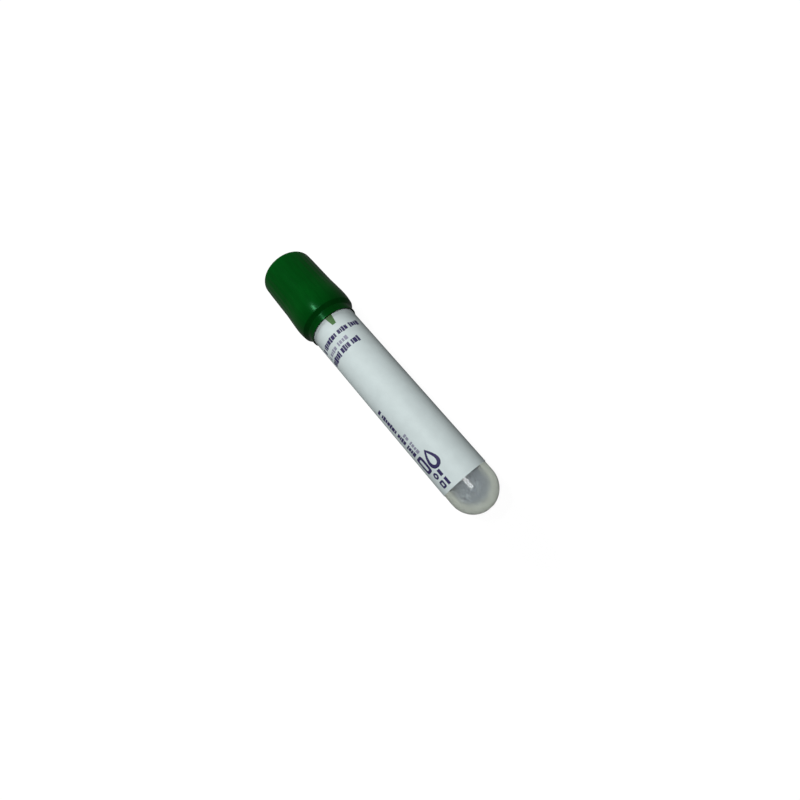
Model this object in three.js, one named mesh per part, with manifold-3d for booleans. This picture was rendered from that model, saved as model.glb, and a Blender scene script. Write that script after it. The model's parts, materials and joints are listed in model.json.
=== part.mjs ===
// A 13 x 75 mm plastic blood collection tube with its push-on closure, lying as it comes to rest on a table.
// Units are millimetres and +Z is up. The tube lies along X, with its closure towards -X. It touches the
// table at the widest ring of the closure and at its round bottom, so its axis leans a little.
// The origin is on the table, at the middle of the object's footprint.
//
// Every piece is turned about one axis. A profile is a list of [radius, along] pairs, where along is the
// distance from the tip of the round bottom towards the closure. Profiles run with the material on their
// left, so that the faces point out.

import * as THREE from "three";
import * as BufferGeometryUtils from "three/addons/utils/BufferGeometryUtils.js";
import Module from "manifold-3d";

const wasm = await Module();
wasm.setup();

// ---- Driving dimensions -------------------------------------------------------------------------------

const ROUND_STEPS = 48; // flats round every turned piece
const ARC_STEPS = 7; // steps along a quarter circle of a profile

const tube_length = 75;
const tube_mouth_radius = 6.5;
const tube_base_radius = 6.3; // also the radius of the round bottom
const tube_wall = 1.0;
const tube_mouth_edge = 0.35; // rounding of the mouth

const gel_height = 16; // top of the gel, measured from the tip of the tube
const gel_floor = 2.2; // gel under the lowest point of its hollow
const gel_hollow_radius = 3.3;
const gel_lip_height = 2.4; // length over which the hollow opens out to the wall
const gel_lip = 0.4; // width of the gel's top edge

const label_start = 8.8; // lower edge of the label
const label_tuck = 1.6; // length of label hidden under the skirt
const label_thickness = 0.1;
const label_window = 5; // bare strip that the wrapped label leaves along the tube

const plug_length = 8.7;
const plug_lead_in = 0.9; // chamfer at the plug's lower end
const plug_ring = 0.1; // height of the two sealing rings over the plug
const plug_ring_length = 1.4;
const plug_hollow_radius = 3.3;
const plug_hollow_depth = 4.6;
const flange_thickness = 5;
const flange_edge = 0.4; // rounding of the flange
const well_radius = 3.4; // puncture well in the stopper's top
const well_depth = 2.4;

const shield_height = 23.4;
const shield_rise = 10; // height of the closure over the tube's mouth
const skirt_edge_wall = 0.2; // at the very bottom of the skirt
const skirt_lip_height = 1.6; // narrow part of the bore at the skirt's edge
const neck_wall = 0.28; // at the top of the skirt's thin neck, under the rim
const neck_height = 1.9; // of that neck over the skirt's edge
const rim_wall = 0.82; // at the rim that stands out over the neck
const rim_height = 2.9; // of the rim over the skirt's edge
const crest_wall = 1.07; // at the widest ring
const crest_height = 5.8; // of the widest ring over the skirt's edge
const flare_height = 7; // over which the body widens to the widest ring
const body_low_wall = 0.66; // between the ribs, just over the flare
const body_top_wall = 0.44; // between the ribs, just under the top edge
const top_edge_radius = 1.1;
const panel_thickness = 1.4;
const needle_hole_radius = 4.2;
const needle_hole_chamfer = 0.4;
const collar_thickness = 0.9;
const bead_catch = 0.18; // how far the flange reaches over the bead
const bead_length = 0.3;

const grip_rib_count = 30;
const grip_rib_height = 0.06;
const grip_rib_width = 0.8;
const guide_rib_count = 8;
const guide_rib_width = 0.6;

// ---- Clearances ---------------------------------------------------------------------------------------

const skin_gap = 0.03; // label to tube
const gel_gap = 0.05; // gel to the tube's wall
const plug_clearance = 0.15; // relaxed plug to the tube's bore, at the ring
const seat_gap = 0.3; // stopper to the tube's mouth, and to the collar
const tube_clearance = 0.3; // bead and guide ribs to the tube
const label_clearance = 0.2; // skirt's lip to the label
const flange_clearance = 0.2; // flange to the shield's bore

// ---- Sizes that follow --------------------------------------------------------------------------------

const taper = (tube_mouth_radius - tube_base_radius) / (tube_length - tube_base_radius);
const tube_radius_at = (along) => tube_base_radius + taper * (along - tube_base_radius);
const bore_radius_at = (along) => tube_radius_at(along) - tube_wall;

const shield_top = tube_length + shield_rise;
const skirt_edge = shield_top - shield_height;
const skirt_crest = skirt_edge + crest_height;
const flare_top = skirt_crest + flare_height;
const body_top = shield_top - top_edge_radius;
const label_end = skirt_edge + label_tuck;
const label_outer = (along) => tube_radius_at(along) + skin_gap + label_thickness;
const skirt_lip_radius = label_outer(label_end) + label_clearance;

const bead_radius = tube_mouth_radius + tube_clearance;
const flange_radius = bead_radius + bead_catch;
const shield_bore = flange_radius + flange_clearance;
const skirt_edge_radius = skirt_lip_radius + skirt_edge_wall;
const neck_radius = skirt_lip_radius + neck_wall;
const rim_radius = shield_bore + rim_wall;
const crest_radius = shield_bore + crest_wall; // widest ring of the closure
const body_low_radius = shield_bore + body_low_wall;
const body_top_radius = shield_bore + body_top_wall;
const flange_bottom = tube_length + seat_gap;
const flange_top = flange_bottom + flange_thickness;
const collar_end = flange_top + seat_gap;
const plug_end = tube_length - plug_length;
const plug_radius = bore_radius_at(plug_end) - plug_clearance - plug_ring;

// ---- Profiles and solids ------------------------------------------------------------------------------

// A circular arc round [radius, along], from one angle to another in degrees; 0 points away from the axis.
function arc(centre, size, from, to, steps = ARC_STEPS) {
  return Array.from({ length: steps + 1 }, (_, i) => {
    const angle = THREE.MathUtils.degToRad(from + ((to - from) * i) / steps);
    return [centre[0] + size * Math.cos(angle), centre[1] + size * Math.sin(angle)];
  });
}

// Turns a profile about the axis. The flats, not the corners, lie at the stated radius, and one flat
// faces down when the tube lies.
function turned(profile) {
  const spread = 1 / Math.cos(Math.PI / ROUND_STEPS);
  const points = profile.map(([radius, along]) => new THREE.Vector2(radius * spread, along));
  return new THREE.LatheGeometry(points, ROUND_STEPS, Math.PI / ROUND_STEPS);
}

function to_solid(geometry) {
  const bare = geometry.clone();
  bare.deleteAttribute("normal");
  bare.deleteAttribute("uv");
  const merged = BufferGeometryUtils.mergeVertices(bare, 1e-4);
  return new wasm.Manifold(
    new wasm.Mesh({
      numProp: 3,
      vertProperties: merged.attributes.position.array,
      triVerts: new Uint32Array(merged.index.array),
    })
  );
}

function to_geometry(solid) {
  const { vertProperties, triVerts } = solid.getMesh();
  const geometry = new THREE.BufferGeometry();
  geometry.setAttribute("position", new THREE.BufferAttribute(vertProperties, 3));
  geometry.setIndex(new THREE.BufferAttribute(triVerts, 1));
  geometry.computeVertexNormals();
  return geometry;
}

// A straight bar along a wall that may taper, from [radius, along] to [radius, along] of its outer face,
// at one angle round the axis.
function bar(low, high, width, depth, angle) {
  const length = high[1] - low[1];
  const lean = Math.atan2(high[0] - low[0], length);
  return new THREE.BoxGeometry(width, Math.hypot(length, high[0] - low[0]), depth)
    .translate(0, 0, -depth / 2)
    .rotateX(lean)
    .translate(0, (low[1] + high[1]) / 2, (low[0] + high[0]) / 2)
    .rotateY(angle);
}

// The same bar at equal steps all round.
function bars_all_round(count, low, high, width, depth) {
  return Array.from({ length: count }, (_, i) =>
    to_solid(bar(low, high, width, depth, (2 * Math.PI * i) / count))
  );
}

// ---- The pieces ---------------------------------------------------------------------------------------

// Injection-moulded PET tube with a round bottom.
function tube_geometry() {
  const centre = [0, tube_base_radius];
  const edge = tube_mouth_edge;
  const rim = tube_length - edge;
  return turned([
    ...arc(centre, tube_base_radius, -90, 0),
    ...arc([tube_mouth_radius - edge, rim], edge, 0, 90, 3),
    ...arc([bore_radius_at(tube_length) + edge, rim], edge, 90, 180, 3),
    ...arc(centre, tube_base_radius - tube_wall, 0, -90),
  ]);
}

// Separator gel that lines the bottom of the tube. Its free surface is a deep round hollow.
function gel_geometry() {
  const outer = (along) => bore_radius_at(along) - gel_gap;
  const hollow_centre = [0, tube_wall + gel_gap + gel_floor + gel_hollow_radius];
  const lip_width = outer(gel_height) - gel_lip - gel_hollow_radius;
  const lip = arc([gel_hollow_radius, gel_height], 1, 0, -90, 5).map(([radius, along]) => [
    gel_hollow_radius + (radius - gel_hollow_radius) * lip_width,
    gel_height + (along - gel_height) * gel_lip_height,
  ]);
  return turned([
    ...arc([0, tube_base_radius], outer(tube_base_radius), -90, 0),
    [outer(gel_height), gel_height],
    ...lip,
    ...arc(hollow_centre, gel_hollow_radius, 0, -90),
  ]);
}

// Coated paper label wrapped round the tube, with a bare window strip left along the underside.
function label_geometry() {
  const inner = (along) => tube_radius_at(along) + skin_gap;
  const sleeve = turned([
    [inner(label_start), label_start],
    [label_outer(label_start), label_start],
    [label_outer(label_end), label_end],
    [inner(label_end), label_end],
    [inner(label_start), label_start],
  ]);
  const length = label_end - label_start;
  const depth = 2 * tube_mouth_radius;
  const window = new THREE.BoxGeometry(label_window, 2 * length, depth).translate(
    0,
    label_start + length / 2,
    depth / 2
  );
  return to_geometry(to_solid(sleeve).subtract(to_solid(window)));
}

// Butyl rubber stopper: a plug with two sealing rings, a flange over the tube's mouth, a well on top for
// the needle, and a hollow below that leaves a thin wall to pierce.
function stopper_geometry() {
  const ring = (along) => [
    [plug_radius, along],
    [plug_radius + plug_ring, along + plug_ring_length / 3],
    [plug_radius + plug_ring, along + (2 * plug_ring_length) / 3],
    [plug_radius, along + plug_ring_length],
  ];
  const first_ring = plug_end + plug_lead_in + plug_ring_length / 2;
  const edge = flange_edge;
  return turned([
    [0, plug_end + plug_hollow_depth],
    [plug_hollow_radius, plug_end + plug_hollow_depth],
    [plug_hollow_radius, plug_end],
    [plug_radius - plug_lead_in / 2, plug_end],
    [plug_radius, plug_end + plug_lead_in],
    ...ring(first_ring),
    ...ring(first_ring + 2 * plug_ring_length),
    [plug_radius, flange_bottom],
    ...arc([flange_radius - edge, flange_bottom + edge], edge, -90, 0, 3),
    ...arc([flange_radius - edge, flange_top - edge], edge, 0, 90, 3),
    [well_radius, flange_top],
    [well_radius, flange_top - well_depth],
    [0, flange_top - well_depth],
  ]);
}

// Outline of the skirt's bulge: a parabola from the rim that ends upright at the widest ring.
function skirt_bulge() {
  return Array.from({ length: ARC_STEPS }, (_, i) => {
    const up = i / ARC_STEPS;
    const along = skirt_edge + rim_height + up * (crest_height - rim_height);
    return [crest_radius - (crest_radius - rim_radius) * (1 - up) ** 2, along];
  });
}

// Outline from the widest ring to the body, which it meets smoothly: s^2 (3 - 2 s).
function skirt_flare() {
  return Array.from({ length: ARC_STEPS + 1 }, (_, i) => {
    const up = i / ARC_STEPS;
    const ease = THREE.MathUtils.smoothstep(up, 0, 1);
    return [crest_radius - (crest_radius - body_low_radius) * ease, skirt_crest + up * flare_height];
  });
}

// Moulded plastic shield that holds the stopper: a ribbed cap with a needle hole, a collar that presses
// on the stopper, a bead under the stopper's flange and a skirt with guide ribs that ends in a thin neck.
function shield_geometry() {
  const bore_top = shield_top - panel_thickness;
  const corner = 1; // chamfer inside, under the panel's edge
  const bead_top = flange_bottom - seat_gap;
  const foot = (skirt_edge_radius + skirt_lip_radius) / 2;
  const start = [foot, skirt_edge];
  const body = turned([
    start,
    [skirt_edge_radius, skirt_edge + (skirt_edge_radius - foot)],
    [neck_radius, skirt_edge + neck_height],
    ...skirt_bulge(),
    ...skirt_flare(),
    ...arc([body_top_radius - top_edge_radius, body_top], top_edge_radius, 0, 90, 6),
    [needle_hole_radius + needle_hole_chamfer, shield_top],
    [needle_hole_radius, shield_top - needle_hole_chamfer],
    [needle_hole_radius, collar_end],
    [needle_hole_radius + collar_thickness, collar_end],
    [needle_hole_radius + collar_thickness, bore_top],
    [shield_bore - corner, bore_top],
    [shield_bore, bore_top - corner],
    [shield_bore, bead_top],
    [bead_radius, bead_top - bead_catch],
    [bead_radius, bead_top - bead_catch - bead_length],
    [shield_bore, bead_top - bead_catch - 2 * bead_length],
    [shield_bore, skirt_edge + 2 * skirt_lip_height],
    [skirt_lip_radius, skirt_edge + skirt_lip_height],
    [skirt_lip_radius, skirt_edge + (foot - skirt_lip_radius)],
    start,
  ]);
  const root = 0.2; // how far a rib runs into the wall that carries it
  const rib_low = flare_top + grip_rib_width / 2;
  const rib_high = body_top - grip_rib_width / 2;
  const body_slope = (body_top_radius - body_low_radius) / (body_top - flare_top);
  const rib_face = (along) => [
    body_low_radius + body_slope * (along - flare_top) + grip_rib_height,
    along,
  ];
  const grip_ribs = bars_all_round(
    grip_rib_count,
    rib_face(rib_low),
    rib_face(rib_high),
    grip_rib_width,
    grip_rib_height + root
  );
  const guide_low = skirt_edge + 2 * skirt_lip_height;
  const guide_high = bead_top - bead_catch - 2 * bead_length;
  const guide_depth = shield_bore - bead_radius + root;
  const guide_face = bead_radius + guide_depth;
  const guide_ribs = bars_all_round(
    guide_rib_count,
    [guide_face, guide_low],
    [guide_face, guide_high],
    guide_rib_width,
    guide_depth
  );
  return to_geometry(
    [...grip_ribs, ...guide_ribs].reduce((whole, rib) => whole.add(rib), to_solid(body))
  );
}

// ---- The object ---------------------------------------------------------------------------------------

function piece(name, geometry, color, roughness, opacity = 1) {
  const material = new THREE.MeshStandardMaterial({
    color,
    roughness,
    metalness: 0,
    opacity,
    transparent: opacity < 1,
  });
  const mesh = new THREE.Mesh(geometry, material);
  mesh.name = name;
  return mesh;
}

// Lean of the axis when the widest ring of the closure and the round bottom both touch the table.
function resting_lean() {
  const reach = skirt_crest - tube_base_radius;
  const span = Math.hypot(reach, crest_radius);
  return Math.atan2(crest_radius, reach) - Math.asin(tube_base_radius / span);
}

const contents = new THREE.Group();
contents.add(
  piece("tube", tube_geometry(), 0xd7ddd8, 0.12, 0.35),
  piece("separator_gel", gel_geometry(), 0xc2c6bd, 0.3, 0.6),
  piece("label", label_geometry(), 0xd9e0e3, 0.55)
);

const closure = new THREE.Group();
closure.add(
  piece("stopper", stopper_geometry(), 0x8d9391, 0.7),
  piece("closure_shield", shield_geometry(), 0x02521b, 0.38)
);

// The axis points to the closure, towards -X and slightly up; the label's window faces down.
const lean = resting_lean();
const assembly = new THREE.Group();
assembly.add(contents, closure);
assembly.quaternion.setFromRotationMatrix(
  new THREE.Matrix4().makeBasis(
    new THREE.Vector3(0, -1, 0),
    new THREE.Vector3(-Math.cos(lean), 0, Math.sin(lean)),
    new THREE.Vector3(-Math.sin(lean), 0, -Math.cos(lean))
  )
);
const box = new THREE.Box3().setFromObject(assembly, true);
const middle = box.getCenter(new THREE.Vector3());
assembly.position.set(-middle.x, -middle.y, -box.min.z);

const collection_tube = new THREE.Group();
collection_tube.add(assembly);

export default collection_tube;
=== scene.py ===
"""Looks of a 13 x 75 mm blood collection tube, lying with its push-on closure in place.

Every piece of the tube is round, so each is worked out as a surface about one axis. A place on the object is
given by three numbers: the distance along the axis from the tip of the round bottom, the radius, and the
angle from the top of the lying tube towards -Y.
"""

import json
import math

import bpy
import numpy as np
from bpy.props import FloatProperty, FloatVectorProperty, IntProperty, PointerProperty
from bpy.types import Operator, Panel, PropertyGroup
from mathutils import Matrix, Vector


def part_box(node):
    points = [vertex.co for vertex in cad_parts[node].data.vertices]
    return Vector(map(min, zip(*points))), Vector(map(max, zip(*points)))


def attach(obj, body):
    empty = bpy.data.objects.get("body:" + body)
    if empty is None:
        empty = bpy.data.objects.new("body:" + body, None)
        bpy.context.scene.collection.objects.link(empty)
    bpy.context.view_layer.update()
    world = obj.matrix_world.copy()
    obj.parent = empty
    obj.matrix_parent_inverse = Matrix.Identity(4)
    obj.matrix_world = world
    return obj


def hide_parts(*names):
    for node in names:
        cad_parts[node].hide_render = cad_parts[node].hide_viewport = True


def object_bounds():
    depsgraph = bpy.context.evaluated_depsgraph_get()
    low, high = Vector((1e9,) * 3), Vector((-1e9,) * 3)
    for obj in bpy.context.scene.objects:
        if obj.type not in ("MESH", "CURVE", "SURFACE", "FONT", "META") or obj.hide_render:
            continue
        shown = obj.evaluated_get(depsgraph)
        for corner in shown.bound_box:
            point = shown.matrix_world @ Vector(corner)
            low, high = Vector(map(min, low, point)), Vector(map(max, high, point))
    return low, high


bl_info = {
    "name": "Blood Collection Tube",
    "version": (1, 0, 0),
    "blender": (4, 5, 0),
    "location": "3D View > Sidebar > Sample Tube",
    "description": "Adds a clear tube with its gel, wrap label, rubber stopper and green closure",
    "category": "Add Mesh",
}

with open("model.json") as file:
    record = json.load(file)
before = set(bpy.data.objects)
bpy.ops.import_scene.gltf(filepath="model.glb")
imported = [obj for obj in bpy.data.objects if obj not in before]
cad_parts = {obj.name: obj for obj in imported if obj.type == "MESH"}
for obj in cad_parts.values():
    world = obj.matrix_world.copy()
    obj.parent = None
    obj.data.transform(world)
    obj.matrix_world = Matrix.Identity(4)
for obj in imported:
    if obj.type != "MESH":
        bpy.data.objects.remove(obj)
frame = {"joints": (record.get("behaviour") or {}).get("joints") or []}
CAD_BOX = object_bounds()
JOINTS = {joint["name"]: joint for joint in frame["joints"]}

MM = 0.001


# ---- The tube's own directions ------------------------------------------------------------------------

AXIS = np.array(JOINTS["closure_pull"]["axis"])  # towards the closure
UP = np.array([AXIS[2], 0.0, -AXIS[0]])  # square to the axis, towards the top
SIDE = np.cross(UP, AXIS)  # towards -Y


def tip_of_tube():
    """The end of the axis at the round bottom, from the closure's pivot and the tube's box."""
    pivot = np.array(JOINTS["shield_twist"]["pos_m"])
    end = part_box("tube")[1].x
    return pivot + AXIS * (end - pivot[0]) / AXIS[0]


TIP = tip_of_tube()


# ---- Settings -----------------------------------------------------------------------------------------


def linear(colour):
    """A colour written as sRGB hex, as the linear red, green and blue that shaders take."""
    shares = np.array([int(colour[i : i + 2], 16) for i in (1, 3, 5)]) / 255
    dark = shares / 12.92
    return tuple(np.where(shares <= 0.04045, dark, ((shares + 0.055) / 1.055) ** 2.4))


def length(name, millimetres, about):
    """A length that a user may change, written here in millimetres."""
    return FloatProperty(
        name=name, description=about, default=millimetres * MM, min=0, precision=5, unit="LENGTH"
    )


def colour(name, srgb, about):
    """A colour that a user may change, written here as sRGB hex."""
    return FloatVectorProperty(
        name=name, description=about, default=linear(srgb), size=3, min=0, max=1, subtype="COLOR"
    )


class TubeSettings(PropertyGroup):
    """The clear moulded tube."""

    height: length("Length", 75, "From the tip of the round bottom to the mouth")
    mouth_radius: length("Mouth radius", 6.5, "Outside, at the mouth")
    base_radius: length("Base radius", 6.3, "Outside, of the round bottom and where the side starts")
    wall: length("Wall", 1.0, "Thickness of the moulded wall")
    mouth_edge: length("Mouth rounding", 0.35, "Rounding of both edges of the mouth")
    gate_radius: length("Gate radius", 1.1, "Dimple that the injection point leaves at the tip")
    gate_depth: length("Gate depth", 0.12, "How deep the dimple is")
    plastic: colour("Plastic", "#f4f8f5", "Tint of the clear plastic")


class GelSettings(PropertyGroup):
    """The separator gel in the round bottom."""

    height: length("Height", 16, "Top of the gel, from the tip of the tube")
    floor: length("Floor", 2.2, "Gel under the lowest point of its hollow")
    hollow_radius: length("Hollow radius", 3.3, "Radius of the hollow and of its round end")
    lip_height: length("Lip height", 2.4, "Over which the hollow opens out to the wall")
    lip: length("Lip", 0.4, "Width of the gel's top edge")
    gap: length("Gap", 0.05, "From the gel to the tube's wall")
    # The gel's grey is partly its own cloudiness and partly painted shade for dim surroundings seen through
    # the clear bottom.
    body: colour("Gel", "#cfd0ca", "Colour of the cloudy gel")
    # The hollow's surface colour is painted shade: its cool grey stands in for dim surroundings seen through
    # the hollow.
    surface: colour("Gel surface", "#d9dff4", "Tint of the wet surface of the hollow")


class LabelSettings(PropertyGroup):
    """The wrap label and its print."""

    start: length("Start", 8.8, "Lower edge of the label, from the tip of the tube")
    end: length("End", 63.2, "Upper edge, which is tucked under the closure's skirt")
    gap: length("Gap", 0.03, "Adhesive between the label and the tube")
    thickness: length("Thickness", 0.1, "Thickness of the paper")
    window: length("Window", 5, "Bare strip that is left along the underside")
    corner: length("Corner", 1.5, "Rounding of the label's four corners")
    ink: length("Ink", 0.012, "Height of the ink over the paper")
    paper: colour("Paper", "#d7e4e4", "Coated paper")
    violet: colour("Violet ink", "#352e5c", "The bold print")
    grey: colour("Grey ink", "#8f90a4", "The fine print, whose strokes are too thin to cover the paper")
    # A green field under the closure, inked on the label.
    green: colour("Green ink", "#46733b", "The colour key under the closure")


class StopperSettings(PropertyGroup):
    """The rubber stopper."""

    flange_radius: length("Flange radius", 6.98, "Of the part over the tube's mouth")
    flange_thickness: length("Flange thickness", 5, "Height of that part")
    flange_edge: length("Flange rounding", 0.4, "Rounding of both edges")
    seat_gap: length("Seat gap", 0.3, "From the tube's mouth to the flange")
    plug_length: length("Plug length", 8.7, "How far the plug reaches into the tube")
    plug_radius: length("Plug radius", 5.22, "Between the sealing rings")
    lead_in: length("Lead-in", 0.9, "Chamfer at the plug's lower end")
    ring: length("Ring", 0.1, "Height of the two sealing rings")
    ring_length: length("Ring length", 1.4, "Length of each ring")
    hollow_radius: length("Hollow radius", 3.3, "Of the hollow in the plug's lower end")
    hollow_depth: length("Hollow depth", 4.6, "Depth of that hollow")
    well_radius: length("Well radius", 3.4, "Of the puncture well in the top")
    well_depth: length("Well depth", 2.4, "Depth of the well")
    rubber: colour("Rubber", "#7f8583", "Grey butyl rubber")


class ShieldSettings(PropertyGroup):
    """The green shield of the closure."""

    height: length("Height", 23.4, "From the skirt's edge to the top")
    rise: length("Rise", 10, "Height of the top over the tube's mouth")
    edge_radius: length("Edge radius", 6.997, "Outside, at the very edge of the skirt")
    lip_radius: length("Lip radius", 6.797, "Bore at the skirt's edge")
    lip_height: length("Lip height", 1.6, "Height of that narrow part of the bore")
    neck_radius: length("Neck radius", 7.077, "Outside, at the top of the skirt's thin neck, under the rim")
    neck_height: length("Neck height", 1.9, "Height of that neck over the skirt's edge")
    rim_radius: length("Rim radius", 8.0, "Outside, at the rim that stands out over the neck")
    rim_height: length("Rim height", 2.9, "Height of the rim over the skirt's edge")
    rim_edge: length("Rim rounding", 0.15, "Rounding of the rim")
    crest_radius: length("Crest radius", 8.25, "Widest ring")
    crest_height: length("Crest height", 5.8, "Height of the widest ring over the skirt's edge")
    flare_height: length("Flare height", 7, "Over which the body widens to the widest ring")
    body_low_radius: length("Body radius, low", 7.84, "Between the ribs, just over the flare")
    body_top_radius: length("Body radius, top", 7.62, "Between the ribs, under the top edge")
    top_edge: length("Top rounding", 1.1, "Rounding of the top edge")
    bore: length("Bore", 7.18, "Inside radius")
    bead_radius: length("Bead radius", 6.8, "Inside radius of the bead that holds the stopper")
    bead_catch: length("Bead catch", 0.18, "How far the stopper's flange reaches over the bead")
    bead_length: length("Bead length", 0.3, "Length of the bead")
    panel: length("Panel", 1.4, "Thickness of the top panel")
    hole_radius: length("Hole radius", 4.2, "Of the needle hole")
    hole_chamfer: length("Hole chamfer", 0.4, "Of the needle hole's outer edge")
    collar: length("Collar", 0.9, "Wall of the collar that presses on the stopper")
    collar_end: length("Collar end", 80.6, "Lower end of the collar, from the tip of the tube")
    rib_height: length("Rib height", 0.05, "Height of the grip ribs")
    rib_count: IntProperty(name="Ribs", description="Number of grip ribs", default=30, min=0)
    guide_width: length("Guide width", 0.6, "Width of the ribs inside that guide the tube")
    guide_count: IntProperty(name="Guide ribs", description="Number of ribs inside", default=8, min=0)
    plastic: colour("Plastic", "#01460f", "Dark green polyethylene")


class StudioSettings(PropertyGroup):
    """Floor and camera."""

    focal: FloatProperty(
        name="Focal length", description="Of the camera's lens", default=18.9, unit="CAMERA"
    )
    distance: length("Distance", 106.19, "From the camera to the point it looks at")
    elevation: FloatProperty(
        name="Elevation", description="Of the camera", default=math.radians(71.8285), unit="ROTATION"
    )
    roll: FloatProperty(
        name="Roll", description="Turn about the camera's own line of sight",
        default=math.radians(-40.8385), unit="ROTATION",
    )
    aim_along: length("Aim along", 8.742, "How far towards the round bottom the camera looks")
    aim_across: length("Aim across", 0.559, "How far towards +Y the camera looks")
    aim_height: length("Aim height", 7.5, "Height of the point it looks at")
    floor: colour("Floor", "#ffffff", "Pale table")


class SampleTubeSettings(PropertyGroup):
    """All settings of the collection tube."""

    tube: PointerProperty(type=TubeSettings)
    gel: PointerProperty(type=GelSettings)
    label: PointerProperty(type=LabelSettings)
    stopper: PointerProperty(type=StopperSettings)
    shield: PointerProperty(type=ShieldSettings)
    studio: PointerProperty(type=StudioSettings)


# ---- Surfaces -----------------------------------------------------------------------------------------

AROUND = 192  # points round a turned piece
AROUND_SHIELD = 360  # the same on the shield, twelve for each of its grip ribs
ON_AXIS = 1e-9  # metres from the axis, under which a point lies on it
CREASE = math.radians(32)  # faces that meet at a sharper angle show an edge


def in_frame(along, radius, angle):
    """Points at a distance along the axis, a radius and an angle: tip + along * axis + radius * outward."""
    along, radius, angle = np.broadcast_arrays(along, radius, angle)
    outward = np.cos(angle)[..., None] * UP + np.sin(angle)[..., None] * SIDE
    return TIP + along[..., None] * AXIS + radius[..., None] * outward


def arc(centre, radius, start, end, steps):
    """Outline points [radius, along] on a circle: centre + size * (cos, sin) of evenly spaced angles."""
    angle = np.radians(np.linspace(start, end, steps + 1))
    return np.stack([centre[0] + radius * np.cos(angle), centre[1] + radius * np.sin(angle)], axis=1)


def rounded(corners, steps):
    """An open outline through corners (radius, along, rounding).

    Each rounded corner becomes an arc that touches both of its sides: the arc's centre lies on the line that
    halves the corner, and its points turn evenly from one touching point to the other.
    """
    outline = []
    for i, (radius, along, rounding) in enumerate(corners):
        corner = np.array([radius, along])
        if not rounding or i in (0, len(corners) - 1):
            outline.append(corner[None])
            continue
        back, ahead = (np.array(corners[j][:2]) - corner for j in (i - 1, i + 1))
        back, ahead = back / np.linalg.norm(back), ahead / np.linalg.norm(ahead)
        half = math.acos(np.clip(back @ ahead, -1, 1)) / 2
        middle = (back + ahead) / np.linalg.norm(back + ahead)
        centre = corner + middle * rounding / math.sin(half)
        touch = rounding / math.tan(half)
        first, last = corner + back * touch - centre, corner + ahead * touch - centre
        sweep = math.pi - 2 * half
        share = np.linspace(0, 1, steps + 1)[:, None]
        turn = (np.sin((1 - share) * sweep) * first + np.sin(share * sweep) * last) / math.sin(sweep)
        outline.append(centre + turn)
    return np.concatenate(outline)


def with_steps(outline, longest):
    """The same outline with points added evenly, so that no step is longer than the given length."""
    steps = np.ceil(np.linalg.norm(np.diff(outline, axis=0), axis=1) / longest).astype(int)
    steps = np.maximum(steps, 1)
    first = np.repeat(np.arange(len(steps)), steps)
    share = np.concatenate([np.arange(n) / n for n in steps])[:, None]
    return np.concatenate([outline[first] * (1 - share) + outline[first + 1] * share, outline[-1:]])


def grid_quads(rows, columns, wrap_rows, wrap_columns):
    """Corner numbers of the quads of a grid of points; a wrapped direction closes on itself."""
    row = np.arange(rows if wrap_rows else rows - 1)[:, None]
    column = np.arange(columns if wrap_columns else columns - 1)[None]
    next_row, next_column = (row + 1) % rows, (column + 1) % columns
    corners = [
        row * columns + column,
        row * columns + next_column,
        next_row * columns + next_column,
        next_row * columns + column,
    ]
    return np.stack(np.broadcast_arrays(*corners), axis=-1).reshape(-1, 4)


def volume_of(points, faces):
    """Signed volume inside a closed surface: the sum over triangles of a . (b x c) / 6."""
    a, b, c = (points[faces[:, i]] - points.mean(0) for i in range(3))
    total = np.einsum("ij,ij->i", a, np.cross(b, c)).sum()
    if faces.shape[1] == 4:
        d = points[faces[:, 3]] - points.mean(0)
        total += np.einsum("ij,ij->i", a, np.cross(c, d)).sum()
    return total / 6


def closed_mesh(name, points, quads, triangles=None):
    """A mesh from arrays of points and faces, turned so that its faces point out."""
    triangles = np.zeros((0, 3), int) if triangles is None else triangles
    if volume_of(points, quads) + volume_of(points, triangles) < 0:
        quads, triangles = quads[:, ::-1], triangles[:, ::-1]
    mesh = bpy.data.meshes.new(name)
    mesh.vertices.add(len(points))
    mesh.vertices.foreach_set("co", points.astype(np.float32).ravel())
    corners = np.concatenate([quads.ravel(), triangles.ravel()]).astype(np.int32)
    sizes = np.repeat([4, 3], [len(quads), len(triangles)])
    mesh.loops.add(len(corners))
    mesh.loops.foreach_set("vertex_index", corners)
    mesh.polygons.add(len(sizes))
    mesh.polygons.foreach_set("loop_start", (np.cumsum(sizes) - sizes).astype(np.int32))
    mesh.update(calc_edges=True)
    return mesh


def turned(name, outline, around=AROUND, swell=None):
    """A solid turned about the axis: point(i, j) = (along_i, radius_i + swell(along_i, angle_j), angle_j).

    An outline that starts and ends on the axis is closed there by one point at each end; any other outline
    closes on itself. swell adds to the radius of every point off the axis.
    """
    angle = np.linspace(0, 2 * math.pi, around, endpoint=False)[None]
    on_axis = outline[0, 0] < ON_AXIS
    ring = outline[1:-1] if on_axis else outline
    radius = np.broadcast_to(ring[:, :1], (len(ring), around))
    if swell is not None:
        radius = radius + swell(ring[:, :1], ring[:, 1:], angle)
    points = in_frame(ring[:, 1:], radius, angle).reshape(-1, 3)
    quads = grid_quads(len(ring), around, not on_axis, True)
    if not on_axis:
        return closed_mesh(name, points, quads)
    poles = in_frame(outline[[0, -1], 1], np.zeros(2), np.zeros(2))
    here, following = np.arange(around), (np.arange(around) + 1) % around
    last = len(points) - around
    first_fan = np.stack([np.full(around, len(points)), following, here], axis=1)
    last_fan = np.stack([np.full(around, len(points) + 1), last + here, last + following], axis=1)
    return closed_mesh(name, np.concatenate([points, poles]), quads, np.concatenate([first_fan, last_fan]))


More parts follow.
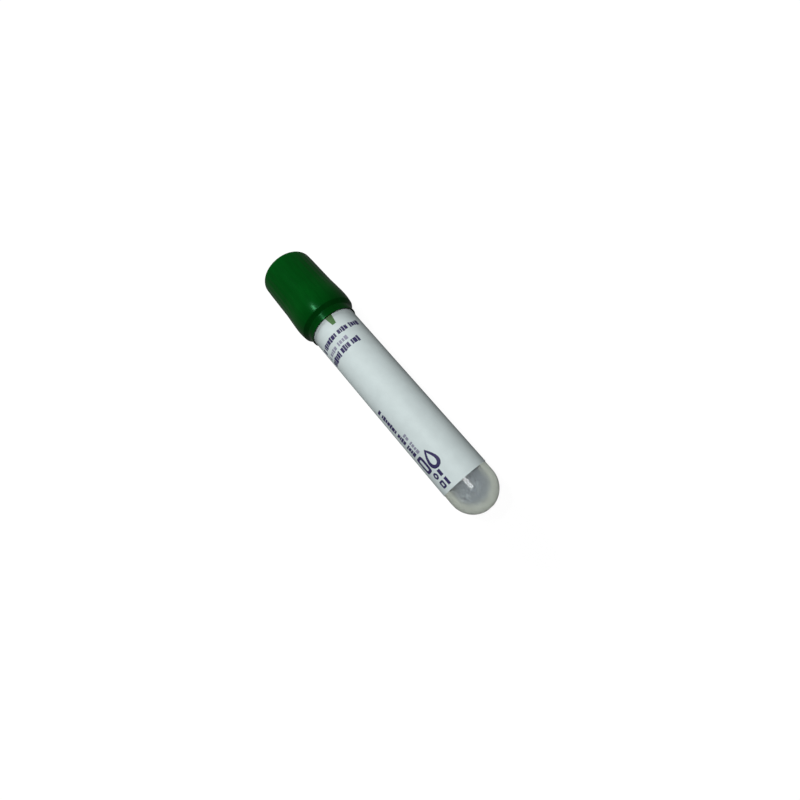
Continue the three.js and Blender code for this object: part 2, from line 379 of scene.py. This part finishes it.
def between(inner, outer, wrap=False):
    """Points and quads of the closed solid between two grids of points, one over the other.

    The two grids are laid side by side as one grid, whose columns run out over the outer face and back over
    the inner one. Its two open ends are closed by strips from the inner rows to the outer rows, and with wrap
    its rows close on themselves instead.
    """
    rows, columns = inner.shape[:2]
    points = np.concatenate([outer, inner[:, ::-1]], axis=1)
    quads = grid_quads(rows, 2 * columns, wrap, True)
    if not wrap:
        ahead = np.arange(columns - 1)
        back = 2 * columns - 1 - ahead
        first = np.stack([ahead, back, back - 1, ahead + 1], axis=1)
        last = (first + (rows - 1) * 2 * columns)[:, ::-1]
        quads = np.concatenate([quads, first, last])
    return points.reshape(-1, 3), quads


def joined(parts):
    """Several sets of points and quads as one."""
    starts = np.cumsum([0] + [len(points) for points, _ in parts[:-1]])
    points = np.concatenate([points for points, _ in parts])
    return points, np.concatenate([quads + start for (_, quads), start in zip(parts, starts)])


def second_finish(mesh, test):
    """Gives the second material to the faces whose middle passes a test of its distance along and radius."""
    middle = np.empty(3 * len(mesh.polygons), np.float32)
    mesh.polygons.foreach_get("center", middle)
    middle = middle.reshape(-1, 3) - TIP
    along = middle @ AXIS
    radius = np.linalg.norm(middle - along[:, None] * AXIS, axis=1)
    mesh.polygons.foreach_set("material_index", test(along, radius).astype(np.int32))


def finish_piece(name, mesh, materials, body, node):
    """Makes the object of a finished mesh: smooth faces, sharp creases, its finish, body and CAD node."""
    mesh.shade_smooth()
    mesh.set_sharp_from_angle(angle=CREASE)
    for material in materials:
        mesh.materials.append(material)
    piece = bpy.data.objects.new(name, mesh)
    bpy.context.scene.collection.objects.link(piece)
    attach(piece, body)
    if node:
        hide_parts(node)
    return piece


# ---- Materials ----------------------------------------------------------------------------------------


def add_node(tree, kind, links=None, **settings):
    """Adds one shader node. settings are its own properties or values of its inputs, by name with _ for a
    space, and links gives the socket that feeds an input."""
    node = tree.nodes.new("ShaderNode" + kind)
    for name, value in settings.items():
        if hasattr(node, name):
            setattr(node, name, value)
        else:
            socket = node.inputs[name.replace("_", " ")]
            colour_like = socket.type == "RGBA" and len(value) == 3
            socket.default_value = (*value, 1) if colour_like else value
    for name, source in (links or {}).items():
        tree.links.new(source, node.inputs[name])
    return node


def emptied(owner):
    """The node tree of a new material or world, with nothing in it."""
    owner.use_nodes = True
    owner.node_tree.nodes.clear()
    return owner.node_tree


def new_material(name, **surface):
    """A material with one Principled shader. Returns it, its tree, its shader and Object coordinates."""
    material = bpy.data.materials.new(name)
    tree = emptied(material)
    shader = add_node(tree, "BsdfPrincipled", **surface)
    add_node(tree, "OutputMaterial", {"Surface": shader.outputs["BSDF"]})
    place = add_node(tree, "TexCoord").outputs["Object"]
    return material, tree, shader, place


def grain(tree, place, size, detail=2, stretch=(1, 1, 1)):
    """Noise whose patches are about the given size across, stretched along the lying tube if asked."""
    scaled = add_node(tree, "Mapping", {"Vector": place}, Scale=stretch)
    return add_node(
        tree, "TexNoise", {"Vector": scaled.outputs["Vector"]}, Scale=1 / size, Detail=detail, Roughness=0.5
    ).outputs["Fac"]


def mottle(tree, shader, pattern, base, dark, light):
    """Lets noise from 0.35 to 0.65 run a shader's colour from a dark share of it to a light share."""
    ramp = add_node(tree, "ValToRGB", {"Fac": pattern})
    for stop, position, share in zip(ramp.color_ramp.elements, (0.35, 0.65), (dark, light)):
        stop.position, stop.color = position, (*(min(1, part * share) for part in base), 1)
    tree.links.new(ramp.outputs["Color"], shader.inputs["Base Color"])


def roughen(tree, shader, pattern, low, high):
    """Lets noise from 0.3 to 0.7 run a shader's roughness from low to high."""
    limits = {"From_Min": 0.3, "From_Max": 0.7, "To_Min": low, "To_Max": high}
    level = add_node(tree, "MapRange", {"Value": pattern}, **limits)
    tree.links.new(level.outputs["Result"], shader.inputs["Roughness"])


def emboss(tree, shader, pattern, depth):
    """Lets noise from about 0 to 1 raise a shader's surface by up to a depth in metres."""
    bump = add_node(tree, "Bump", {"Height": pattern}, Strength=1.0, Distance=depth)
    tree.links.new(bump.outputs["Normal"], shader.inputs["Normal"])


PET_IOR, GEL_IOR = 1.575, 1.41
HOLLOW_IOR = 1.2  # under the gel's own, because its cloudy surface mirrors less than a clear one


def clear_pet(plastic, name="clear moulded PET", beyond=1.0):
    """Injection-moulded PET: water-clear and glossy, with flow marks a few millimetres long. What lies beyond
    its face bends light too, so the face bends it by the ratio of the two."""
    material, tree, shader, place = new_material(
        name, Base_Color=plastic, IOR=PET_IOR / beyond, Transmission_Weight=1.0
    )
    flow = grain(tree, place, 1.2 * MM, stretch=(0.25, 1, 1))
    roughen(tree, shader, flow, 0.1, 0.18)
    emboss(tree, shader, flow, 0.002 * MM)
    return material


def gel_against_wall(body):
    """Thixotropic separator gel where it wets the wall: cloudy, with slow swirls from filling. Its grey is
    partly the gel's own cloudiness and partly painted shade, standing in for dim surroundings seen through
    the clear bottom. The wall's own face bends the light already, so this one doesn't."""
    material, tree, shader, place = new_material(
        "cloudy separator gel", IOR=1.0, Transmission_Weight=0.8, Roughness=0.5
    )
    mottle(tree, shader, grain(tree, place, 2.5 * MM, stretch=(0.5, 1, 1)), body, 0.95, 1.05)
    return material


def hollow_with_painted_shade(surface):
    """The same gel at the surface of its hollow: wet but clouded, so it shows mostly a cool grey, with a soft
    gloss. That cool grey is painted shade: it stands in for the dim surroundings seen through the air of the
    hollow."""
    material, tree, shader, place = new_material(
        "wet gel surface", Base_Color=surface, IOR=HOLLOW_IOR, Transmission_Weight=0.35
    )
    swirl = grain(tree, place, 2.0 * MM)
    roughen(tree, shader, swirl, 0.16, 0.24)
    emboss(tree, shader, swirl, 0.004 * MM)
    return material


def coated_paper(paper):
    """Coated label paper: nearly white, semi-matt, with fibres under the coat."""
    material, tree, shader, place = new_material("coated label paper", IOR=1.5, Specular_IOR_Level=0.3)
    fibre = grain(tree, place, 0.12 * MM, detail=3)
    mottle(tree, shader, grain(tree, place, 2.5 * MM, detail=4), paper, 0.97, 1.02)
    roughen(tree, shader, fibre, 0.46, 0.6)
    emboss(tree, shader, fibre, 0.004 * MM)
    return material


def printed_ink(name, ink):
    """Flexographic ink: thin and semi-matt, a little uneven where the paper's fibres take it up."""
    material, tree, shader, place = new_material(name, IOR=1.5)
    uptake = grain(tree, place, 0.15 * MM, detail=3)
    mottle(tree, shader, uptake, ink, 0.85, 1.25)
    roughen(tree, shader, uptake, 0.4, 0.55)
    return material


def butyl_rubber(rubber):
    """Moulded butyl rubber: matt and fine-grained, with a faint pale bloom."""
    material, tree, shader, place = new_material("moulded butyl rubber", IOR=1.52)
    skin = grain(tree, place, 0.09 * MM, detail=3)
    mottle(tree, shader, grain(tree, place, 1.8 * MM, detail=4), rubber, 0.88, 1.12)
    roughen(tree, shader, skin, 0.62, 0.8)
    emboss(tree, shader, skin, 0.012 * MM)
    return material


def moulded_polyethylene(plastic):
    """Injection-moulded polyethylene: waxy satin in a deep colour, with a fine eroded grain from the mould
    and faint flow lines. What gloss it has takes the plastic's own green."""
    material, tree, shader, place = new_material(
        "satin moulded polyethylene", IOR=1.51, Specular_IOR_Level=0.2, Specular_Tint=(0.2, 1, 0.45)
    )
    erosion = grain(tree, place, 0.1 * MM)
    flow = grain(tree, place, 1.0 * MM, detail=3, stretch=(0.2, 1, 1))
    mottle(tree, shader, flow, plastic, 0.92, 1.1)
    roughen(tree, shader, erosion, 0.2, 0.28)
    emboss(tree, shader, erosion, 0.003 * MM)
    return material


# ---- Tube and gel -------------------------------------------------------------------------------------


def outer_radius(tube, along):
    """Outside radius of the tube's straight part: it widens evenly from the round bottom to the mouth."""
    share = (along - tube.base_radius) / (tube.height - tube.base_radius)
    return tube.base_radius + (tube.mouth_radius - tube.base_radius) * share


def gate_dimple(tube, outline):
    """Sinks the outline's tip: half a cosine wave, deepest on the axis, ends at the gate's radius."""
    near = np.clip(outline[:, 0] / tube.gate_radius, 0, 1)
    low = outline[:, 1] < tube.base_radius / 4
    sink = np.where(low, tube.gate_depth * (1 + np.cos(math.pi * near)) / 2, 0)
    return outline + np.stack([np.zeros_like(sink), sink], axis=1)


def tube_mesh(tube, gel):
    """The tube's wall: a half circle and a slightly conical side outside, the same a wall's width inside. A
    row of points lies inside where the gel ends."""
    inside = outer_radius(tube, tube.height) - tube.wall
    edge = tube.mouth_edge
    centre = (0, tube.base_radius)
    outside = gate_dimple(tube, arc(centre, tube.base_radius, -90, 0, 64))
    mouth = rounded(
        [
            (*outside[-1], 0),
            (tube.mouth_radius, tube.height, edge),
            (inside, tube.height, edge),
            (outer_radius(tube, gel.height) - tube.wall, gel.height, 0),
            (tube.base_radius - tube.wall, tube.base_radius, 0),
        ],
        steps=6,
    )
    hollow = arc(centre, tube.base_radius - tube.wall, 0, -90, 48)
    return turned("tube_wall", np.concatenate([outside, mouth[1:-1], hollow]))


def past_bore(tube, along, radius):
    """How far a place lies outside the surface of the tube's bore: its distance from the axis, or from the
    centre of the round bottom, less the bore's radius."""
    below = np.minimum(along - tube.base_radius, 0)
    bore = outer_radius(tube, np.maximum(along, tube.base_radius)) - tube.wall
    return np.hypot(radius, below) - bore


def gel_mesh(tube, gel):
    """The gel: fits the tube's inside, with a hollow of one radius, a round end and a lip that flares out."""
    side = outer_radius(tube, gel.height) - tube.wall - gel.gap
    base = tube.base_radius - tube.wall - gel.gap
    round_centre = (0, tube.wall + gel.gap + gel.floor + gel.hollow_radius)
    outside = arc((0, tube.base_radius), base, -90, 0, 48)
    quarter = arc((0, 0), 1, 0, -90, 16)
    flare = np.stack(
        [
            gel.hollow_radius + quarter[:, 0] * (side - gel.lip - gel.hollow_radius),
            gel.height + quarter[:, 1] * gel.lip_height,
        ],
        axis=1,
    )
    hollow = arc(round_centre, gel.hollow_radius, 0, -90, 48)
    return turned("gel", np.concatenate([outside, [[side, gel.height]], flare, hollow]))


# ---- Label and print ----------------------------------------------------------------------------------


def label_radius(sizes, along, height=0.0):
    """Radius of the label's outer face, plus a height over it."""
    label = sizes.label
    return outer_radius(sizes.tube, along) + label.gap + label.thickness + height


def label_mesh(sizes):
    """The label: a strip wrapped from one edge of its window to the other, with rounded corners.

    At a row nearer to an end than the corner's radius r, by d, both edges draw in by
    r - sqrt(r^2 - (r - d)^2).
    """
    label = sizes.label
    middle = (label.start + label.end) / 2
    half_turn = math.pi - label.window / 2 / outer_radius(sizes.tube, middle)
    corner = label.corner * (1 - np.cos(np.radians(np.linspace(0, 90, 9))))
    straight = np.linspace(label.start + label.corner, label.end - label.corner, 40)[1:-1]
    along = np.concatenate([label.start + corner, straight, label.end - corner[::-1]])[:, None]
    from_end = np.minimum(along - label.start, label.end - along)
    short = np.clip(label.corner - from_end, 0, label.corner)
    drawn_in = label.corner - np.sqrt(label.corner**2 - short**2)
    reach = half_turn - drawn_in / outer_radius(sizes.tube, along)
    angle = np.linspace(-1, 1, AROUND + 1)[None] * reach
    outer = in_frame(along, label_radius(sizes, along), angle)
    inner = in_frame(along, label_radius(sizes, along, -label.thickness), angle)
    return closed_mesh("wrap_label", *between(inner, outer))


def inked(sizes, along, around, wrap=False):
    """Lifts a flat mark onto the label. along and around are grids: metres from the tip, and metres round
    the label from its top line. The mark's underside lies a quarter of the paper's thickness deep in it."""
    label = sizes.label
    angle = around / label_radius(sizes, along)
    outer = in_frame(along, label_radius(sizes, along, label.ink), angle)
    inner = in_frame(along, label_radius(sizes, along, -label.thickness / 4), angle)
    return between(inner, outer, wrap)


BLOCK_STEP = 0.8 * MM  # between a block's columns of points, so that it bends with the label
OUTLINE_STEPS = 48  # points round a printed outline
DROP_SHARPNESS = 1.2  # power that draws a drop's tip to a point


def block(sizes, along, around, height, width):
    """A filled rectangle centred at along, around: height runs along the tube and width round it."""
    columns = 2 + int(width / BLOCK_STEP)
    row = np.linspace(-0.5, 0.5, 2)[:, None] * height
    column = np.linspace(-0.5, 0.5, columns)[None] * width
    return inked(sizes, along + row, around + column)


def loop(sizes, along, around, outline, stroke):
    """A closed line of one width along an outline of points (along, around) about its centre: the line's
    inner edge is the outline drawn towards its centre by the line's width."""
    inner = outline * (1 - stroke / np.abs(outline).max(0))
    share = np.linspace(0, 1, 5)[None, :, None]
    line = inner[:, None] * (1 - share) + outline[:, None] * share
    return inked(sizes, along + line[..., 0], around + line[..., 1], wrap=True)


def drop_outline(height, width):
    """A drop: x = height / 2 * cos t, and y = sin t * sin^m(t / 2), stretched to the width. The power m
    sharpens the tip."""
    t = np.linspace(0, 2 * math.pi, OUTLINE_STEPS, endpoint=False)
    y = np.sin(t) * np.sin(t / 2) ** DROP_SHARPNESS
    return np.stack([np.cos(t) * height / 2, y * width / 2 / np.abs(y).max()], axis=1)


def square_outline(height, width, power=5):
    """A rounded rectangle, or an ellipse at power 2: |x / a|^power + |y / b|^power = 1."""
    t = np.linspace(0, 2 * math.pi, OUTLINE_STEPS, endpoint=False)
    circle = np.stack([np.cos(t), np.sin(t)])
    return (np.abs(circle) ** (2 / power) * np.sign(circle)).T * [height / 2, width / 2]


# Widths of the blocks that stand for the letters of a line; a negative one is a space between words.
LETTERS = np.array([0.9, 0.55, 0.7, 0.45, -0.4, 0.8, 0.6, 0.4, 0.75, -0.4, 0.5, 0.95, 0.6]) * MM


def printed_line(sizes, across, start, end, height, gap, letters=LETTERS, lengthwise=False):
    """Blocks side by side from start to end, every third one a quarter taller. The line runs round the tube,
    or along it if lengthwise, and across is where it lies in the other direction."""
    parts, at, i = [], start, 0
    while at + letters[i % len(letters)] <= end:
        width = letters[i % len(letters)]
        if width > 0:
            tall = height * (1.0 if i % 3 else 1.25)
            middle = at + width / 2
            place = (middle, across, width, tall) if lengthwise else (across, middle, tall, width)
            parts.append(block(sizes, *place))
        at += abs(width) + gap
        i += 1
    return parts


def violet_marks(sizes):
    """The bold print: two rows round the tube, a row along it, and generic pictograms near its lower edge."""
    parts = printed_line(sizes, 56.3 * MM, -6.4 * MM, 8.3 * MM, 1.25 * MM, 0.14 * MM)
    parts += printed_line(sizes, 51.8 * MM, -3.2 * MM, 8.4 * MM, 1.45 * MM, 0.12 * MM, LETTERS[::-1])
    parts += printed_line(sizes, 6.3 * MM, 19.9 * MM, 34.8 * MM, 1.25 * MM, 0.14 * MM, lengthwise=True)
    parts += [
        loop(sizes, 16.9 * MM, 2.9 * MM, drop_outline(5.2 * MM, 3.3 * MM), 0.85 * MM),
        loop(sizes, 16.9 * MM, 6.0 * MM, square_outline(4.6 * MM, 2.4 * MM), 0.75 * MM),
        loop(sizes, 13.2 * MM, 5.2 * MM, square_outline(1.7 * MM, 1.5 * MM, power=2), 0.5 * MM),
        block(sizes, 13.2 * MM, 3.5 * MM, 1.6 * MM, 0.9 * MM),
        block(sizes, 10.8 * MM, 3.4 * MM, 1.9 * MM, 0.8 * MM),
        loop(sizes, 10.8 * MM, 5.1 * MM, square_outline(1.9 * MM, 1.5 * MM), 0.5 * MM),
    ]
    return parts


def grey_marks(sizes):
    """The fine print: a row between the two bold ones and a short row beside the one along the tube."""
    parts = printed_line(sizes, 53.8 * MM, -1.0 * MM, 8.2 * MM, 0.95 * MM, 0.22 * MM)
    return parts + printed_line(sizes, 4.6 * MM, 19.8 * MM, 26.0 * MM, 0.85 * MM, 0.2 * MM, lengthwise=True)


def under_closure_field(sizes):
    """A green field on the label under the closure, which narrows evenly towards the round bottom."""
    down = np.linspace(0, 1, 9)[:, None]
    across = np.linspace(-0.5, 0.5, 7)[None]
    along = (62.9 - 4.1 * down) * MM
    around = (-0.6 + across * (2.5 - 1.4 * down)) * MM
    return [inked(sizes, along, around)]


# ---- Stopper ------------------------------------------------------------------------------------------


def stopper_mesh(tube, stopper):
    """The stopper's outline, from the hollow in the plug round the flange to the well in its top."""
    low = tube.height - stopper.plug_length
    flange_low = tube.height + stopper.seat_gap
    flange_top = flange_low + stopper.flange_thickness
    plug, edge = stopper.plug_radius, stopper.flange_edge
    soft = 0.25 * MM  # rounding that the mould gives to the other corners
    corners = [
        (0, low + stopper.hollow_depth, 0),
        (stopper.hollow_radius, low + stopper.hollow_depth, 3 * soft),
        (stopper.hollow_radius, low, soft),
        (plug - stopper.lead_in / 2, low, soft),
        (plug, low + stopper.lead_in, soft),
    ]
    ring = low + stopper.lead_in + stopper.ring_length / 2
    for start in (ring, ring + 2 * stopper.ring_length):
        third = stopper.ring_length / 3
        for radius, along in ((plug, 0), (plug + stopper.ring, 1), (plug + stopper.ring, 2), (plug, 3)):
            corners.append((radius, start + along * third, soft))
    corners += [
        (plug, flange_low, soft),
        (stopper.flange_radius, flange_low, edge),
        (stopper.flange_radius, flange_top, edge),
        (stopper.well_radius, flange_top, edge),
        (stopper.well_radius, flange_top - stopper.well_depth, 2 * soft),
        (0, flange_top - stopper.well_depth, 0),
    ]
    return turned("rubber_stopper", rounded(corners, steps=5))


# ---- Shield -------------------------------------------------------------------------------------------


def shield_outline(tube, shield):
    """The shield's outline: up the outside from the skirt's edge, over the top, and down the bore.

    From the rim to the widest ring the radius follows a parabola that ends upright there, and from there it
    eases into the body as s^2 (3 - 2 s).
    """
    top = tube.height + shield.rise
    edge = top - shield.height
    rim, crest = edge + shield.rim_height, edge + shield.crest_height
    up = np.linspace(0, 1, 17)[1:]
    bulge = shield.crest_radius - (shield.crest_radius - shield.rim_radius) * (1 - up) ** 2
    flare = shield.crest_radius - (shield.crest_radius - shield.body_low_radius) * up * up * (3 - 2 * up)
    curve = [(radius, along, 0) for radius, along in zip(bulge, rim + up * (crest - rim))]
    curve += [(radius, along, 0) for radius, along in zip(flare, crest + up * shield.flare_height)]
    mouth = tube.height
    bore, bead = shield.bore, shield.bead_radius
    panel_low = top - shield.panel
    collar = shield.hole_radius + shield.collar
    bead_low = mouth - shield.bead_catch - shield.bead_length
    # Rounding of most corners, of the bead, of the skirt's thin edge, and of the corner under the top panel
    soft, slight, thin, wide = 0.2 * MM, 0.1 * MM, 0.06 * MM, 1.0 * MM
    half_wall = ((shield.edge_radius + shield.lip_radius) / 2, edge, 0)
    return rounded([
        half_wall,
        (shield.edge_radius, edge, thin),
        (shield.neck_radius, edge + shield.neck_height, soft),
        (shield.rim_radius, rim, shield.rim_edge),
        *curve,
        (shield.body_top_radius, top, shield.top_edge),
        (shield.hole_radius + shield.hole_chamfer, top, soft),
        (shield.hole_radius, top - shield.hole_chamfer, soft),
        (shield.hole_radius, shield.collar_end, soft),
        (collar, shield.collar_end, soft),
        (collar, panel_low, soft),
        (bore, panel_low, wide),
        (bore, mouth, slight / 2),
        (bead, mouth - shield.bead_catch, slight),
        (bead, bead_low, slight),
        (bore, bead_low - shield.bead_length, slight),
        (bore, edge + 2 * shield.lip_height, soft),
        (shield.lip_radius, edge + shield.lip_height, soft),
        (shield.lip_radius, edge, thin),
        half_wall,
    ], steps=8)[:-1]


def shield_mesh(tube, shield):
    """The shield with its ribs.

    Outside, the radius swells by rib_height * (1 + cos(count * angle)) / 2, and fades in and out at the ends
    of the ribbed part. Inside, the bore narrows to the guide ribs, whose sides slope over a short way.
    """
    grip_run, guide_run = 2.0 * MM, 0.4 * MM  # over which the ribs fade in and out
    rib_side = 0.12 * MM  # over which a guide rib's side slopes
    same = 0.01 * MM  # radii that differ by less are of one face
    outline = with_steps(shield_outline(tube, shield), longest=0.8 * MM)
    top = tube.height + shield.rise
    rib_low = top - shield.height + shield.crest_height + shield.flare_height / 3
    rib_high = top - shield.top_edge
    guide_low = top - shield.height + 2 * shield.lip_height
    guide_high = tube.height - shield.bead_catch - 2 * shield.bead_length

    def fade(along, low, high, run):
        rise = np.clip((along - low) / run, 0, 1) * np.clip((high - along) / run, 0, 1)
        return rise * rise * (3 - 2 * rise)

    def swell(radius, along, angle):
        outside = radius > shield.body_top_radius - shield.top_edge / 3
        ribs = (1 + np.cos(shield.rib_count * angle)) / 2
        grip = outside * fade(along, rib_low, rib_high, grip_run) * shield.rib_height * ribs
        in_bore = np.abs(radius - shield.bore) < same
        pitch = 2 * math.pi / shield.guide_count
        off = np.abs((angle + pitch / 2) % pitch - pitch / 2) * shield.bore
        rib = np.clip((shield.guide_width / 2 - off) / rib_side + 0.5, 0, 1)
        inside = in_bore * fade(along, guide_low, guide_high, guide_run) * (shield.bore - shield.bead_radius)
        return grip - inside * rib

    return turned("green_shield", outline, around=AROUND_SHIELD, swell=swell)


# ---- Operators ----------------------------------------------------------------------------------------


class SAMPLETUBE_OT_add_tube(Operator):
    """Add the clear tube"""

    bl_idname = "sample_tube.add_tube"
    bl_label = "Add Tube"

    def execute(self, context):
        tube, gel = context.scene.sample_tube.tube, context.scene.sample_tube.gel
        wetted = clear_pet(tube.plastic, "moulded PET wetted by gel", beyond=GEL_IOR)
        finish = [clear_pet(tube.plastic), wetted]
        piece = finish_piece("clear_tube", tube_mesh(tube, gel), finish, "tube", "tube")

        def under_gel(along, radius):
            return (along < gel.height) & (past_bore(tube, along, radius) < tube.wall / 2)

        second_finish(piece.data, under_gel)
        return {"FINISHED"}


class SAMPLETUBE_OT_add_gel(Operator):
    """Add the separator gel"""

    bl_idname = "sample_tube.add_gel"
    bl_label = "Add Gel"

    def execute(self, context):
        tube, gel = context.scene.sample_tube.tube, context.scene.sample_tube.gel
        finish = [gel_against_wall(gel.body), hollow_with_painted_shade(gel.surface)]
        piece = finish_piece("gel_fill", gel_mesh(tube, gel), finish, "tube", "separator_gel")

        def free_surface(along, radius):
            return past_bore(tube, along, radius) < -gel.gap - gel.lip / 4

        second_finish(piece.data, free_surface)
        return {"FINISHED"}


class SAMPLETUBE_OT_add_label(Operator):
    """Add the wrap label and its print"""

    bl_idname = "sample_tube.add_label"
    bl_label = "Add Label"

    def execute(self, context):
        sizes = context.scene.sample_tube
        label = sizes.label
        paper = [coated_paper(label.paper)]
        finish_piece("wrap_label", label_mesh(sizes), paper, "tube", "label")
        prints = {
            "violet_print": (violet_marks(sizes), printed_ink("violet ink", label.violet)),
            "grey_print": (grey_marks(sizes), printed_ink("grey ink", label.grey)),
            "green_under_closure": (under_closure_field(sizes), printed_ink("green ink", label.green)),
        }
        for name, (parts, ink) in prints.items():
            finish_piece(name, closed_mesh(name, *joined(parts)), [ink], "tube", None)
        return {"FINISHED"}


class SAMPLETUBE_OT_add_stopper(Operator):
    """Add the rubber stopper"""

    bl_idname = "sample_tube.add_stopper"
    bl_label = "Add Stopper"

    def execute(self, context):
        sizes = context.scene.sample_tube
        finish = [butyl_rubber(sizes.stopper.rubber)]
        mesh = stopper_mesh(sizes.tube, sizes.stopper)
        finish_piece("rubber_stopper", mesh, finish, "stopper", "stopper")
        return {"FINISHED"}


class SAMPLETUBE_OT_add_shield(Operator):
    """Add the green shield of the closure"""

    bl_idname = "sample_tube.add_shield"
    bl_label = "Add Shield"

    def execute(self, context):
        sizes = context.scene.sample_tube
        finish = [moulded_polyethylene(sizes.shield.plastic)]
        mesh = shield_mesh(sizes.tube, sizes.shield)
        finish_piece("green_shield", mesh, finish, "shield", "closure_shield")
        return {"FINISHED"}


GLOSS_SHARE = 0.05  # of the white surroundings that shows in satin and gloss
FLOOR_GREY, FLOOR_GLOW = 0.1, 0.95  # what light meets on the floor, and what is seen of it
FILL = 0.08  # level of the light from all round

# Name, direction from the object, distance and size in spans of the object, watts, and whether gloss shows it
LAMPS = (
    ("key light", (-0.93, -0.09, 0.38), 20, 5, 31, False),
    ("overhead softbox", (0.02, -0.02, 1), 6, 2.1, 0.7, True),
    ("closure lamp", (-0.33, -0.15, 0.93), 6, 0.4, 0.6, True),
)


def add_lamp(name, centre, direction, distance, size, power, mirrored):
    """A round soft lamp at a distance from the object, facing it, in a direction given from it."""
    lamp = bpy.data.lights.new(name, "AREA")
    lamp.shape, lamp.size, lamp.energy = "DISK", size, power
    thing = bpy.data.objects.new(name, lamp)
    towards = Vector(direction).normalized()
    thing.location = centre + towards * distance
    thing.rotation_euler = towards.to_track_quat("Z", "Y").to_euler()
    thing.visible_glossy = mirrored
    bpy.context.scene.collection.objects.link(thing)


def seen_directly(tree):
    """How much of the white surroundings a ray sees: all of it straight from the camera or through something
    clear, GLOSS_SHARE of it in a gloss, and none of it as plain light."""
    path = add_node(tree, "LightPath").outputs
    gloss = add_node(tree, "Math", {0: path["Is Glossy Ray"]}, operation="MULTIPLY")
    gloss.inputs[1].default_value = GLOSS_SHARE
    clear = {0: gloss.outputs[0], 1: path["Is Transmission Ray"]}
    either = {0: path["Is Camera Ray"], 1: add_node(tree, "Math", clear, operation="MAXIMUM").outputs[0]}
    return add_node(tree, "Math", either, operation="MAXIMUM").outputs[0]


def pale_floor(white):
    """A matt white table top. The camera sees it lit from within nearly to white, so only the object's own
    shadow tones it; light that bounces off it meets a plain grey."""
    material = bpy.data.materials.new("matt table top")
    tree = emptied(material)
    grey = add_node(tree, "BsdfDiffuse", Color=(FLOOR_GREY,) * 3).outputs[0]
    glow = add_node(tree, "Emission", Color=tuple(white), Strength=FLOOR_GLOW).outputs[0]
    both = add_node(tree, "AddShader", {0: grey, 1: glow}).outputs[0]
    mix = add_node(tree, "MixShader", {"Fac": seen_directly(tree), 1: grey, 2: both})
    add_node(tree, "OutputMaterial", {"Surface": mix.outputs[0]})
    return material


def studio_world():
    """Soft even light from all round, and plain white where the camera or glass looks past the table."""
    world = bpy.data.worlds.new("studio")
    bpy.context.scene.world = world
    tree = emptied(world)
    level = add_node(tree, "MapRange", {"Value": seen_directly(tree)}, To_Min=FILL, To_Max=1.0)
    back = add_node(tree, "Background", {"Strength": level.outputs[0]}, Color=(1, 1, 1))
    add_node(tree, "OutputWorld", {"Surface": back.outputs[0]})


class SAMPLETUBE_OT_add_stage(Operator):
    """Add the floor, the lamps and the camera"""

    bl_idname = "sample_tube.add_stage"
    bl_label = "Add Stage"

    def execute(self, context):
        studio = context.scene.sample_tube.studio
        low, high = CAD_BOX
        centre = Vector(((low.x + high.x) / 2, (low.y + high.y) / 2, low.z))
        span = (high - low).length

        half, drop = 12 * span, 0.02 * MM  # half the floor's width, and how far it lies below the object
        square = [(-half, -half, -drop), (half, -half, -drop), (half, half, -drop), (-half, half, -drop)]
        mesh = bpy.data.meshes.new("table_top")
        mesh.from_pydata([centre + Vector(corner) for corner in square], [], [(0, 1, 2, 3)])
        mesh.materials.append(pale_floor(studio.floor))
        floor = bpy.data.objects.new("table_top", mesh)
        context.scene.collection.objects.link(floor)

        studio_world()
        for name, direction, distance, size, power, mirrored in LAMPS:
            add_lamp(name, centre, direction, distance * span, size * span, power, mirrored)

        aim = centre + Vector((studio.aim_along, studio.aim_across, studio.aim_height))
        back = Vector((math.cos(studio.elevation), 0, math.sin(studio.elevation)))
        lens = bpy.data.cameras.new("camera")
        lens.lens, lens.sensor_width = studio.focal, 36  # both in millimetres
        lens.clip_start, lens.clip_end = 5 * MM, 100 * span
        camera = bpy.data.objects.new("camera", lens)
        camera.location = aim + back * studio.distance
        turn = back.to_track_quat("Z", "Y").to_matrix() @ Matrix.Rotation(studio.roll, 3, "Z")
        camera.rotation_euler = turn.to_euler()
        context.scene.collection.objects.link(camera)
        context.scene.camera = camera
        context.scene.view_settings.view_transform = "Standard"
        return {"FINISHED"}


# ---- Panel and registration ---------------------------------------------------------------------------

STEPS = (
    SAMPLETUBE_OT_add_tube,
    SAMPLETUBE_OT_add_gel,
    SAMPLETUBE_OT_add_label,
    SAMPLETUBE_OT_add_stopper,
    SAMPLETUBE_OT_add_shield,
    SAMPLETUBE_OT_add_stage,
)


class SAMPLETUBE_PT_panel(Panel):
    """Lists the operators that add the tube, piece by piece"""

    bl_label = "Sample Tube"
    bl_idname = "SAMPLETUBE_PT_panel"
    bl_space_type = "VIEW_3D"
    bl_region_type = "UI"
    bl_category = "Sample Tube"

    def draw(self, context):
        for step in STEPS:
            self.layout.operator(step.bl_idname)


CLASSES = (
    TubeSettings,
    GelSettings,
    LabelSettings,
    StopperSettings,
    ShieldSettings,
    StudioSettings,
    SampleTubeSettings,
    *STEPS,
    SAMPLETUBE_PT_panel,
)


def register():
    for cls in CLASSES:
        bpy.utils.register_class(cls)
    bpy.types.Scene.sample_tube = PointerProperty(type=SampleTubeSettings)


def unregister():
    del bpy.types.Scene.sample_tube
    for cls in reversed(CLASSES):
        bpy.utils.unregister_class(cls)


def main():
    register()
    bpy.ops.sample_tube.add_tube()
    bpy.ops.sample_tube.add_gel()
    bpy.ops.sample_tube.add_label()
    bpy.ops.sample_tube.add_stopper()
    bpy.ops.sample_tube.add_shield()
    bpy.ops.sample_tube.add_stage()


if __name__ == "__main__":
    main()
